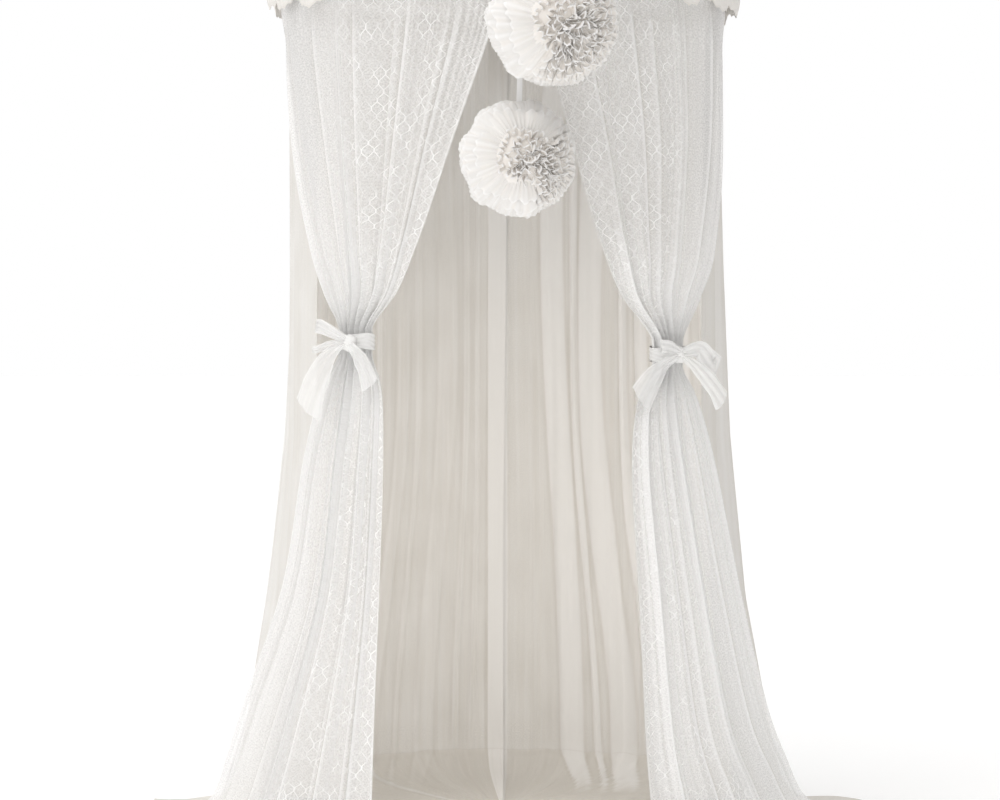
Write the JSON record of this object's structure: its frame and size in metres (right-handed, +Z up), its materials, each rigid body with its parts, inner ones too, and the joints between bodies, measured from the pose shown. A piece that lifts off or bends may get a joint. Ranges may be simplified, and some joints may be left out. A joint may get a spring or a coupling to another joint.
{
  "type": "tulle canopy on a hoop",
  "caption": "Hanging bed canopy: gathered tulle cone over a round hoop, sheer drops behind, parted lace panels tied back in front, a frill and hanging pompoms.",
  "frame": {"origin": "where the ceiling hook bears in the hanging ring, at the canopy's top on its axis", "axes": "+Z up along the canopy's axis, -Y out of the parted front, +X to the right as seen from the front"},
  "size_m": [1.4365, 1.1775, 2.1217],
  "materials": {
    "tulle": "matt sheer ivory tulle",
    "lace": "matt ivory net with raised geometric thread",
    "sash": "sheer soft sash",
    "pompom_tulle": "matt ruffled tulle",
    "ribbon": "smooth narrow ribbon",
    "tape": "woven cotton tape",
    "hoop_paint": "white painted wire",
    "ring_metal": "plated steel wire"
  },
  "bodies": {
    "root": {"hanging_ring": "ring_metal", "hanging_loop": "tape", "top_cover": "tulle", "hoop": "hoop_paint", "frill": "tulle", "sheer_left": "tulle", "sheer_right": "tulle", "lace_left": "lace", "lace_right": "lace", "tie_left": "sash", "tie_right": "sash", "pompom_upper": "pompom_tulle", "pompom_lower": "pompom_tulle", "ribbon_upper": "ribbon", "ribbon_lower": "ribbon"}
  },
  "joints": []
}
